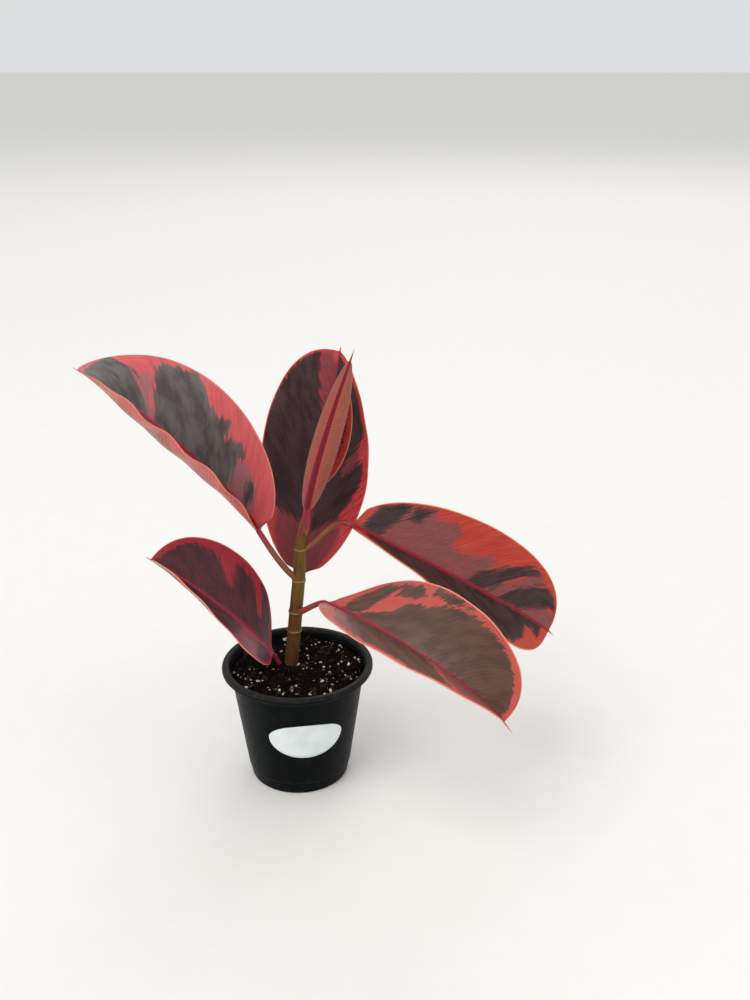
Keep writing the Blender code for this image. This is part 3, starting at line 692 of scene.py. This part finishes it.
# %% Stem
STEM_LINE = [(-7.5, 7.0, 46), (-5.0, 7.0, 84), (-0.6, 7.6, 128), (2.3, 8.3, 156), (4.5, 9.0, 187)]
STEM_RADII = [4.6, 5.0, 4.8, 4.5, 3.8]
SCARS = [112, 127, 152, 176]
line = smooth_line(STEM_LINE, 300)
radius = smooth_line(np.array(STEM_RADII)[:, None], 300)[:, 0]
height = line[:, 2]
for scar in SCARS:
    radius = radius * (1 + 0.10 * np.exp(-((height - scar) / 1.6) ** 2)
                       + 0.035 * np.exp(-((height - scar) / 0.45) ** 2))
radius = radius - 0.7 * smooth((height - 185.6) / 1.4) - 0.6 * smooth((47.2 - height) / 1.2)
angles = np.arange(64) * 2 * math.pi / 64
furrow = 0.05 * np.sin(9 * angles + 1.0) + 0.04 * np.sin(17 * angles + height[:, None] * 0.12)
rings, _ = tube(line, radius[:, None] + furrow, 64)
stem = skin("stem_bark_surface", rings * MM)
finish_piece(stem, "stem_bark", "stem")


# %% Bark finish
def bark_finish():
    """Bands of olive and brown by height, pale rings at the scars, streaks and pores."""
    f = Finish("bark_finish")
    place = f.place()
    x, y, z = f.split(place)
    streak = f.noise(f.scaled(place, (900, 900, 60)), detail=3.0)
    patch = f.noise(f.scaled(place, (160, 160, 70)), detail=2.0)
    olive = f.mix(streak, "584206", "78600F")
    brown = f.mix(streak, "4A2A12", "6E4826")
    amount = f.plus(f.times(f.minus(patch, 0.5), 1.6),
                    f.times(x, -60.0))
    low = f.step(z, 0.085, 0.160, 0.35, 0.15)
    colour = f.mix(f.step(f.plus(amount, low), -0.2, 0.5), olive, brown)
    ring = None
    for scar in SCARS:
        gap = f.math("ABSOLUTE", f.minus(f.plus(z, f.times(patch, 0.0012)),
                                        (scar + 0.6) * MM))
        band = f.step(gap, 0.0002, 0.0009, 1.0, 0.0)
        ring = band if ring is None else f.math("MAXIMUM", ring, band)
    colour = f.mix(f.times(ring, 0.55), colour, "B49A58")
    pores = f.step(f.cells(f.scaled(place, (420, 420, 260))), 0.0, 0.16, 1.0, 0.0)
    colour = f.mix(f.times(pores, 0.5), colour, "A88C58")
    f.bump(f.plus(streak, f.times(pores, 0.6)), 0.00025, 0.9)
    return f.set(Base_Color=colour, Roughness=f.step(streak, 0.3, 0.7, 0.42, 0.60),
                 Specular_IOR_Level=0.25)


stem.data.materials.append(bark_finish())
print("stem from", round(height[0]), "to", round(height[-1]), "mm, rings at", SCARS)

# %% [markdown]
# ## The sheath of the next bud
# A new leaf leaves behind a thin red sheath, and the next bud already stands in it as a short
# spike. It is a tube like the stem, narrowing to a point, in the crimson of the stalks.

# %% Bud sheath
line = smooth_line([(6.4, 10.4, 185), (7.8, 11.6, 192), (9.0, 11.4, 199), (10.4, 11.0, 206)], 60)
radius = smooth_line(np.array([1.9, 2.1, 1.4, 0.35])[:, None], 60)[:, 0]
angles = np.arange(32) * 2 * math.pi / 32
ridge = 0.12 * np.cos(angles * 2 + 0.6)[None] * np.ones((60, 1)) * radius[:, None]
rings, _ = tube(line, radius[:, None] + ridge, 32)
bud = skin("bud_sheath_surface", rings * MM)
finish_piece(bud, "bud_sheath", "bud_sheath")

f = Finish("bud_finish")
place = f.place()
x, y, z = f.split(place)
streak = f.noise(f.scaled(place, (700, 700, 90)), detail=2.0)
colour = f.mix(streak, "8C2430", "B04448")
colour = f.mix(f.step(z, 0.186, 0.192, 0.8, 0.0), colour, "8A6A3C")
f.bump(streak, 0.00015, 0.7)
bud.data.materials.append(f.set(Base_Color=colour, Roughness=f.step(streak, 0.3, 0.7, 0.35, 0.5)))


# %% [markdown]
# ## Nursery pot
# The pot is thin black plastic pressed in a mould: a tapered wall, a rolled rim, a faint collar
# below it and a step round the foot. Such a shape is a profile turned about an axis. The
# profile is written down once, with its corners rounded by a few extra points.


# %% Turned shapes
def rounded_profile(corners, radius, steps=5):
    """A polyline whose inner corners are replaced by short quadratic arcs.

    Each arc goes from a point before the corner to a point after it, at most radius away:
    (1 - t)^2 before + 2 t (1 - t) corner + t^2 after.
    """
    p = np.array(corners)
    out = [p[:1]]
    t = np.linspace(0, 1, steps)[:, None]
    for before, corner, after in zip(p, p[1:], p[2:]):
        reach_in = min(radius, np.linalg.norm(corner - before) * 0.45)
        reach_out = min(radius, np.linalg.norm(after - corner) * 0.45)
        start = corner + (before - corner) / np.linalg.norm(before - corner) * reach_in
        end = corner + (after - corner) / np.linalg.norm(after - corner) * reach_out
        out.append((1 - t) ** 2 * start + 2 * t * (1 - t) * corner + t ** 2 * end)
    return np.concatenate(out + [p[-1:]])


def turned_rings(profile, segments):
    """Rings of a profile of (radius, height) turned about the upright axis."""
    angles = np.arange(segments) * 2 * math.pi / segments
    rings = np.empty((len(profile), segments, 3))
    rings[..., 0] = profile[:, :1] * np.cos(angles)
    rings[..., 1] = profile[:, :1] * np.sin(angles)
    rings[..., 2] = profile[:, 1:]
    return rings


BASE_RADIUS, TOP_RADIUS, RIM_UNDER = 36.5, 48.8, 85.5   # of the wall, and the rim's lower side
RIM_RADIUS, MOUTH_RADIUS, POT_HEIGHT = 55.0, 50.0, 90.0
POT_WALL, POT_FLOOR, FOOT_STEP, COLLAR = 1.2, 1.6, 0.6, 0.5
DRAIN_COUNT, DRAIN_RADIUS, DRAIN_CIRCLE = 6, 4.0, 26.0


def wall_radius(z):
    """Outer radius of the pot's tapered wall at a height in millimetres."""
    return BASE_RADIUS + (TOP_RADIUS - BASE_RADIUS) * z / RIM_UNDER


# %% Pot with its drain holes
foot = BASE_RADIUS - FOOT_STEP
pot_profile = rounded_profile([
    (0.6, 0.0), (foot - 1.0, 0.0), (foot, 1.0), (wall_radius(9.4) - FOOT_STEP, 9.4),
    (wall_radius(10.0), 10.0), (wall_radius(40), 40), (wall_radius(80.8), 80.8),
    (wall_radius(81.0) + COLLAR, 81.5), (wall_radius(85.3) + COLLAR, 85.3),
    (RIM_RADIUS - 1.0, 85.3), (RIM_RADIUS, 86.2), (RIM_RADIUS, 88.6),
    (RIM_RADIUS - 0.8, POT_HEIGHT), (MOUTH_RADIUS + 1.0, POT_HEIGHT), (MOUTH_RADIUS, 89.2),
    (TOP_RADIUS - POT_WALL, 84.0), (wall_radius(40) - POT_WALL, 40),
    (wall_radius(2.6) - FOOT_STEP - POT_WALL, 2.6),
    (wall_radius(2.6) - FOOT_STEP - POT_WALL - 1.0, POT_FLOOR), (0.6, POT_FLOOR)], 0.7)
pot = skin("nursery_pot", turned_rings(pot_profile, 192) * MM)
drill = []
for i in range(DRAIN_COUNT):
    turn = (i + 0.5) * 2 * math.pi / DRAIN_COUNT
    line = np.array([(DRAIN_CIRCLE * math.cos(turn), DRAIN_CIRCLE * math.sin(turn), z)
                     for z in (-3.0, 4.5)])
    rings, _ = tube(line, np.full((2, 1), DRAIN_RADIUS), 32)
    drill.append(skin("drill", rings * MM, smooth=False))
    hole = pot.modifiers.new("hole", "BOOLEAN")
    hole.operation, hole.solver, hole.object = "DIFFERENCE", "EXACT", drill[-1]
shape = bpy.data.meshes.new_from_object(pot.evaluated_get(bpy.context.evaluated_depsgraph_get()))
pot.modifiers.clear()
pot.data = shape
for obj in drill:
    bpy.data.objects.remove(obj)
finish_piece(pot, "pot_plastic", "pot")

# %% [markdown]
# Black plastic is never a flat black. The mould leaves fine rings round the wall, the rim's top
# carries a painted grey highlight, and dust and splashes of compost dry on it as small pale specks.

# %% Pot finish
f = Finish("pot_finish")
place = f.place()
x, y, z = f.split(place)
haze = f.noise(place, 55.0, 3.0)
scuff = f.noise(f.scaled(place, (260, 260, 700)), detail=3.0, roughness=0.7)
dots = f.step(f.cells(place, 330.0), 0.05, 0.13, 1.0, 0.0)
dust = f.times(dots, f.step(haze, 0.50, 0.62))
colour = f.mix(f.step(haze, 0.3, 0.7), "020405", "05090B")
colour = f.mix(f.step(scuff, 0.64, 0.80, 0.0, 0.22), colour, "1E2423")
# Painted highlight: a grey band round the top of the rim, broken up by the scuff noise.
rim_highlight = f.times(f.step(z, 0.0868, 0.0890), f.step(scuff, 0.35, 0.65, 0.35, 0.9))
colour = f.mix(rim_highlight, colour, "2E2E2B")
colour = f.mix(f.times(dust, 0.40), colour, "6A655A")
splash = f.times(f.step(f.noise(place, 420.0, 2.0), 0.62, 0.68),
                f.step(f.plus(z, f.times(haze, 0.02)), 0.030, 0.014))
colour = f.mix(f.times(splash, 0.35), colour, "4A3E34")
f.bump(f.plus(scuff, f.times(dust, 0.8)), 0.00012, 0.8)
pot.data.materials.append(f.set(Base_Color=colour, Roughness=f.step(scuff, 0.3, 0.75, 0.36, 0.52),
                                Specular_IOR_Level=0.07))


# %% [markdown]
# ## Sticker
# A half-moon of white coated paper is wrapped on the wall. It is left bare. Its outline is
# worked out flat, turned a little, and then every point is carried to the cone of the wall at
# the same arc length, which is what happens to paper when it is smoothed down.

# %% Sticker
LABEL_HALF_WIDTH, LABEL_HALF_HEIGHT, LABEL_HEIGHT_ON_WALL = 27.8, 14.45, 49.0
LABEL_ANGLE, LABEL_TILT = math.radians(-79.1), math.radians(-0.8)
BOW = 6.1                            # how far the upper edge bows up between its ends
CORNERS, DROPS = (0.47, 0.37), (5.8, 5.0)   # rounded part of each half, and how far it drops
part = np.sin(np.linspace(-0.5, 0.5, 81) * math.pi)
rounded = np.where(part < 0, *CORNERS)
corner = np.clip((np.abs(part) - (1 - rounded)) / rounded, 0, 1)
top = LABEL_HALF_HEIGHT - BOW * part ** 2 - np.where(part < 0, *DROPS) * (1 - np.sqrt(1 - corner ** 2))
ends = LABEL_HALF_HEIGHT - BOW - np.interp(part, (-1, 1), DROPS)
bottom = ends - (LABEL_HALF_HEIGHT + ends) * np.sqrt(np.maximum(1 - part ** 2, 0.004))
down = np.linspace(0, 1, 13)
across = np.repeat(part[:, None], 13, axis=1) * LABEL_HALF_WIDTH
up = top[:, None] * (1 - down) + bottom[:, None] * down
c, s = math.cos(LABEL_TILT), math.sin(LABEL_TILT)
across, up = across * c - up * s, across * s + up * c


def on_wall(lift):
    """The flat points wrapped on the wall: angle = arc length / radius, lifted off it."""
    z = LABEL_HEIGHT_ON_WALL + up
    radius = wall_radius(z) + lift
    angle = LABEL_ANGLE + across / radius
    return np.stack([radius * np.cos(angle), radius * np.sin(angle), z], axis=-1)


rings = np.concatenate([on_wall(0.05), on_wall(0.45)[:, ::-1]], axis=1)
label = skin("blank_sticker", rings * MM)
finish_piece(label, "label_paper", "label")

f = Finish("sticker_finish")
place = f.place()
fibre = f.noise(place, 900.0, 3.0)
stain = f.noise(place, 60.0, 2.0)
colour = f.mix(f.step(stain, 0.35, 0.75), "E6EFEE", "D8E3E3")
f.bump(fibre, 0.00003, 0.5)
label.data.materials.append(f.set(Base_Color=colour, Roughness=f.step(fibre, 0.3, 0.7, 0.34, 0.46)))


# %% [markdown]
# ## Potting mix
# The mix is dark peat and bark with white perlite. A surface alone looks like felt, so it is
# made in two parts: an uneven top, and loose grains on it. Every grain is the same small ball
# of 80 faces, squashed, turned and dented by its own random numbers, all worked out in one
# array. The random numbers are seeded, so the pot is filled the same way every time.


# %% Uneven top of the mix
chance = np.random.default_rng(11)
MIX_TOP = 84.0


def lumps(x, y, scale, waves=14, seed=3):
    """Smooth random height: a mean of sine waves in random directions, about -1 to 1."""
    pick = np.random.default_rng(seed)
    turn, phase = pick.uniform(0, 2 * math.pi, (2, waves))
    pace = pick.uniform(0.6, 1.6, waves) * 2 * math.pi / scale
    along = x[..., None] * np.cos(turn) + y[..., None] * np.sin(turn)
    return np.sin(along * pace + phase).sum(axis=-1) / math.sqrt(waves)


def mix_height(x, y):
    """Height of the mix in millimetres: a low crown with lumps of three sizes."""
    fade = 1 - smooth((np.hypot(x, y) - 42) / 5.2)
    return (MIX_TOP - 0.4 + 1.2 * fade + 0.55 * lumps(x, y, 17, seed=5) * fade
            + 0.35 * lumps(x, y, 5.5, seed=6) + 0.22 * lumps(x, y, 2.2, seed=7))


EDGE = wall_radius(MIX_TOP) - POT_WALL - 0.3
reach = np.linspace(1.2, EDGE, 84)
angles = np.arange(240) * 2 * math.pi / 240
x, y = reach[:, None] * np.cos(angles), reach[:, None] * np.sin(angles)
top = np.stack([x, y, mix_height(x, y)], axis=-1)
side = turned_rings(np.array([(EDGE - 0.3, 80.5), (wall_radius(3) - 3.4, 3.2),
                              (wall_radius(3) - 4.2, 2.0), (1.2, 2.0)]), 240)
soil = skin("potting_mix_surface", np.concatenate([top, side]) * MM)
finish_piece(soil, "potting_mix", "soil")


# %% Loose grains
def ball(cuts=1):
    """Corners and faces of an icosahedron whose faces are each cut in four, on a unit ball."""
    g = (1 + math.sqrt(5)) / 2
    points = [(-1, g, 0), (1, g, 0), (-1, -g, 0), (1, -g, 0), (0, -1, g), (0, 1, g), (0, -1, -g),
              (0, 1, -g), (g, 0, -1), (g, 0, 1), (-g, 0, -1), (-g, 0, 1)]
    points = [np.array(p) / math.hypot(1, g) for p in points]
    faces = [(0, 11, 5), (0, 5, 1), (0, 1, 7), (0, 7, 10), (0, 10, 11), (1, 5, 9), (5, 11, 4),
             (11, 10, 2), (10, 7, 6), (7, 1, 8), (3, 9, 4), (3, 4, 2), (3, 2, 6), (3, 6, 8),
             (3, 8, 9), (4, 9, 5), (2, 4, 11), (6, 2, 10), (8, 6, 7), (9, 8, 1)]
    for _ in range(cuts):
        middles, finer = {}, []

        def middle(a, b):
            key = (min(a, b), max(a, b))
            if key not in middles:
                halfway = points[a] + points[b]
                points.append(halfway / np.linalg.norm(halfway))
                middles[key] = len(points) - 1
            return middles[key]

        for a, b, c in faces:
            ab, bc, ca = middle(a, b), middle(b, c), middle(c, a)
            finer += [(a, ab, ca), (b, bc, ab), (c, ca, bc), (ab, bc, ca)]
        faces = finer
    return np.array(points), np.array(faces)


BALL, BALL_FACES = ball()


def grains(name, count, size, flat, sink, roughness=0.22, rim=46.5, skew=1.0):
    """Closed grains scattered on the mix, as one mesh.

    size is the range of half lengths in millimetres, with more small ones where skew is above
    1, and flat the range of thickness to length.
    Each grain is a ball times three half axes, dented by noise on its corners, turned by a
    random rotation about z and tipped a little, and sunk by a part of its thickness.
    """
    r = rim * np.sqrt(chance.uniform(0.0, 1.0, count))
    turn = chance.uniform(0, 2 * math.pi, count)
    x, y = r * np.cos(turn), r * np.sin(turn)
    long = size[0] + (size[1] - size[0]) * chance.uniform(0, 1, count) ** skew
    wide = long * chance.uniform(0.55, 0.95, count)
    thick = long * chance.uniform(*flat, count)
    dents = 1 + roughness * chance.standard_normal((count, len(BALL), 1))
    shape = BALL[None] * dents * np.stack([long, wide, thick], axis=-1)[:, None]
    spin, tip = chance.uniform(0, 2 * math.pi, count), chance.normal(0, 0.35, count)
    c, s, ct, st = (wave(turn)[:, None] for turn in (spin, tip) for wave in (np.cos, np.sin))
    px, pz = shape[..., 0] * ct - shape[..., 2] * st, shape[..., 0] * st + shape[..., 2] * ct
    points = np.stack([px * c - shape[..., 1] * s + x[:, None], px * s + shape[..., 1] * c + y[:, None],
                       pz + (mix_height(x, y) + thick * (1 - 2 * sink))[:, None]], axis=-1)
    faces = (BALL_FACES[None] + np.arange(count)[:, None, None] * len(BALL)).reshape(-1, 3)
    obj = mesh_object(name, points.reshape(-1, 3) * MM, [faces], smooth=False)
    turn_outwards(obj)
    point_values(obj, "own", np.repeat(chance.uniform(0, 1, (count, 3)), len(BALL), axis=0))
    finish_piece(obj, "potting_mix")
    return obj


crumbs = grains("peat_crumbs", 2300, (0.25, 1.1), (0.5, 0.9), 0.30, roughness=0.30)
bark = grains("bark_chips", 130, (0.8, 2.6), (0.18, 0.4), 0.30)
perlite = grains("perlite", 190, (0.2, 1.5), (0.6, 0.95), 0.35, roughness=0.20, skew=2.2)
chips = grains("pale_chips", 40, (0.5, 1.7), (0.2, 0.4), 0.25)


# %% Finishes of the mix
def grain_finish(name, dull, bright, rough=0.9, scale=600.0):
    """Two colours mixed by each grain's own random value and by fine noise."""
    f = Finish(name)
    own, second, third = f.split(f.attribute("own"))
    fine = f.noise(f.place(), scale, 2.0)
    colour = f.mix(f.times(f.plus(own, fine), 0.5), dull, bright)
    f.bump(fine, 0.0002, 0.8)
    return f.set(Base_Color=colour, Roughness=f.step(fine, 0.2, 0.8, rough - 0.1, rough),
                 Specular_IOR_Level=0.08)


f = Finish("mix_finish")
place = f.place()
clump = f.noise(place, 260.0, 4.0, 0.65)
fibre = f.noise(f.scaled(place, (900, 250, 400)), detail=2.0)
colour = f.mix(f.step(clump, 0.35, 0.7), "060302", "140C0A")
colour = f.mix(f.step(fibre, 0.60, 0.72, 0.0, 0.5), colour, "2C1E18")
f.bump(f.plus(clump, f.times(fibre, 0.4)), 0.0009, 0.9)
soil.data.materials.append(f.set(Base_Color=colour, Roughness=f.step(clump, 0.3, 0.7, 0.85, 0.97),
                                 Specular_IOR_Level=0.05))
crumbs.data.materials.append(grain_finish("crumb_finish", "040201", "1E1410"))
bark.data.materials.append(grain_finish("bark_chip_finish", "0E0705", "3C261C", 0.8))
perlite.data.materials.append(grain_finish("perlite_finish", "8A8074", "F2EEE6", 0.85, 900.0))
chips.data.materials.append(grain_finish("pale_chip_finish", "5E4A2C", "A89A60", 0.8))

# %% [markdown]
# ## Roots
# The roots stay inside the mix, so the solids are kept as they are. They still get a finish of
# their own: pale tan skin with fine rings, for anyone who lifts the plant out of its pot.

# %% Root finish
f = Finish("root_finish")
place = f.place()
skin_noise = f.noise(f.scaled(place, (500, 500, 900)), detail=3.0)
colour = f.mix(f.step(skin_noise, 0.35, 0.65), "A88A60", "C8AE84")
f.bump(skin_noise, 0.0002, 0.8)
root_finish = f.set(Base_Color=colour, Roughness=f.step(skin_noise, 0.3, 0.7, 0.7, 0.85))
for name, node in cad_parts.items():
    if name.startswith("root_"):
        node.data.materials.clear()
        node.data.materials.append(root_finish)
        print(name, "keeps its solid")


# %% [markdown]
# ## Floor, light and camera
# A plain pale floor under one large soft light keeps the colours honest: gloss shows as broad
# sheen and not as hard spots. The camera looks down on the pot from a little above, with a
# slightly long lens, so that the leaves near it don't swell.

# %% Floor
floor = mesh_object("floor", [(-20, -20, 0), (20, -20, 0), (20, 20, 0), (-20, 20, 0)],
                    [np.array([[0, 1, 2, 3]])], smooth=False)
f = Finish("floor_finish")
grainy = f.noise(f.place(), 40.0, 3.0)
floor.data.materials.append(f.set(
    Base_Color=f.mix(grainy, "ECEAE6", "F0EEEA"), Roughness=0.8))


# %% Light
def soft_light(name, place, size, watts):
    """A square area light at a place, turned towards the middle of the plant."""
    data = bpy.data.lights.new(name, "AREA")
    data.shape, data.size, data.energy = "SQUARE", size, watts
    lamp = bpy.data.objects.new(name, data)
    bpy.context.scene.collection.objects.link(lamp)
    lamp.location = place
    way = np.array(place) - (0, 0, 0.15)
    lamp.rotation_euler = (math.acos(way[2] / np.linalg.norm(way)), 0,
                           math.atan2(way[1], way[0]) + math.pi / 2)


soft_light("key", (-1.4, -1.9, 3.4), 2.3, 66)
soft_light("fill", (3.0, -1.5, 2.2), 2.4, 14)
soft_light("back", (0.8, 3.4, 3.2), 2.8, 36)
world = bpy.data.worlds.new("studio")
bpy.context.scene.world = world
world.use_nodes = True
world.node_tree.nodes["Background"].inputs["Color"].default_value = (0.93, 0.94, 0.95, 1)
world.node_tree.nodes["Background"].inputs["Strength"].default_value = 0.78
bpy.context.scene.view_settings.view_transform = "Standard"

# %% Camera
lens = bpy.data.cameras.new("camera")
lens.lens, lens.sensor_width, lens.sensor_fit = 41.87, 36.0, "AUTO"
lens.clip_start, lens.clip_end = 0.01, 50.0
camera = bpy.data.objects.new("camera", lens)
bpy.context.scene.collection.objects.link(camera)
camera.location = (0.05664, -0.74702, 0.51233)
camera.rotation_euler = (math.radians(68.4), 0.0, 0.0)
bpy.context.scene.camera = camera
